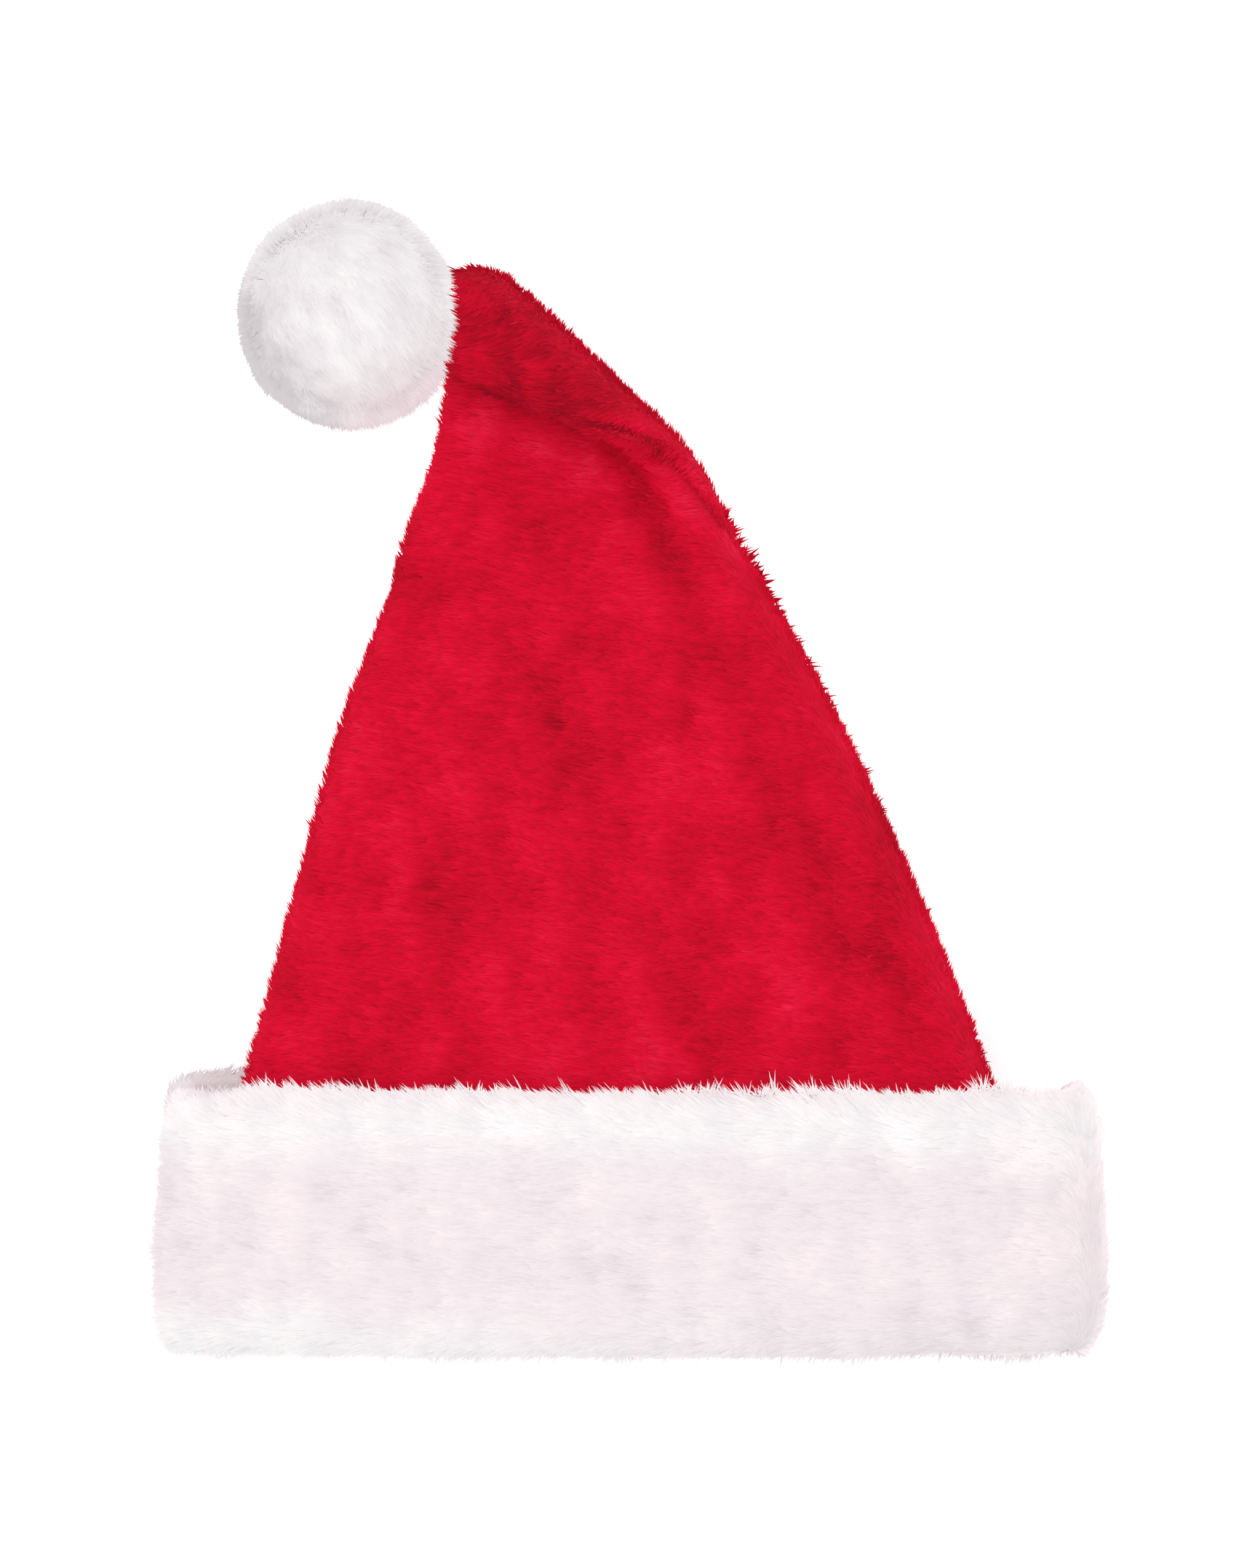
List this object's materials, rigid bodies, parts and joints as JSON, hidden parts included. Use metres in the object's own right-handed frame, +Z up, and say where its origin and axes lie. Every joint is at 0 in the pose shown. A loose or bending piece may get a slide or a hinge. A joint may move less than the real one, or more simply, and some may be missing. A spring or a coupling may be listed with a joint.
{
  "type": "plush santa hat",
  "caption": "Soft pointed plush hat with a folded-over tip, a pompom and a wide turned-up fur cuff, lying flat on its back.",
  "frame": {"origin": "middle of the box round the hat's footprint, on the surface that the hat lies on", "axes": "+Z up from that surface, +Y from the cuff to the tip, +X to the right as the front is seen from above"},
  "size_m": [0.2984, 0.3634, 0.068],
  "materials": {
    "red_plush": "short-pile red plush, matte with a soft sheen",
    "white_plush": "longer-pile white plush, matte",
    "pompom_plush": "long-pile white plush, matte"
  },
  "bodies": {
    "root": {"crown": "red_plush", "cuff": "white_plush", "pompom": "pompom_plush"}
  },
  "joints": []
}
